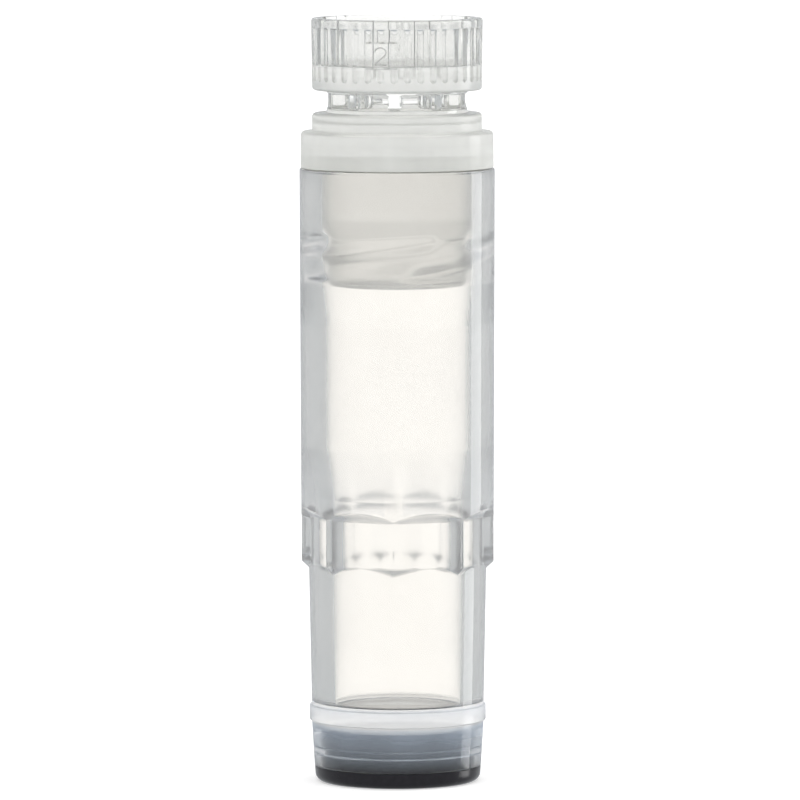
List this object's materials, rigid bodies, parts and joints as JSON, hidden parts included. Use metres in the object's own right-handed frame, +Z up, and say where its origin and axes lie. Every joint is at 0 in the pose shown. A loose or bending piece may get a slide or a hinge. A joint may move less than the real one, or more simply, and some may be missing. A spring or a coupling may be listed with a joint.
{
  "type": "cryovial",
  "caption": "Internal-thread cryogenic storage tube with fluted screw cap, octagonal anti-rotation collar and black snap-in base.",
  "frame": {"origin": "centre of the foot, on the flat underside of the black base", "axes": "+Z up along the tube's axis; -Y faces the viewer, with the smooth number plate of the cap a little to the left of it"},
  "size_m": [0.0124, 0.0124, 0.049],
  "materials": {
    "tube_plastic": "smooth translucent natural polypropylene",
    "cap_plastic": "smooth, slightly milky natural polypropylene",
    "gasket_silicone": "matt translucent silicone",
    "base_plastic": "black polypropylene, lightly polished"
  },
  "bodies": {
    "vial": {"vial_body": "tube_plastic", "code_base": "base_plastic"},
    "gasket": {"seal_ring": "gasket_silicone"},
    "cap": {"screw_cap": "cap_plastic"}
  },
  "joints": [
    {"name": "cap_lift", "type": "slide", "parent": "vial", "child": "gasket", "axis": [0, 0, 1], "range_m": [0, 0.012]},
    {"name": "cap_turn", "type": "hinge", "parent": "gasket", "child": "cap", "pos_m": [0, 0, 0.0394], "axis": [0, 0, 1], "range_deg": [0, 1080]}
  ],
  "couplings": [
    {"joint": "cap_turn", "follows": "cap_lift", "rad_per_m": 1570.8}
  ]
}
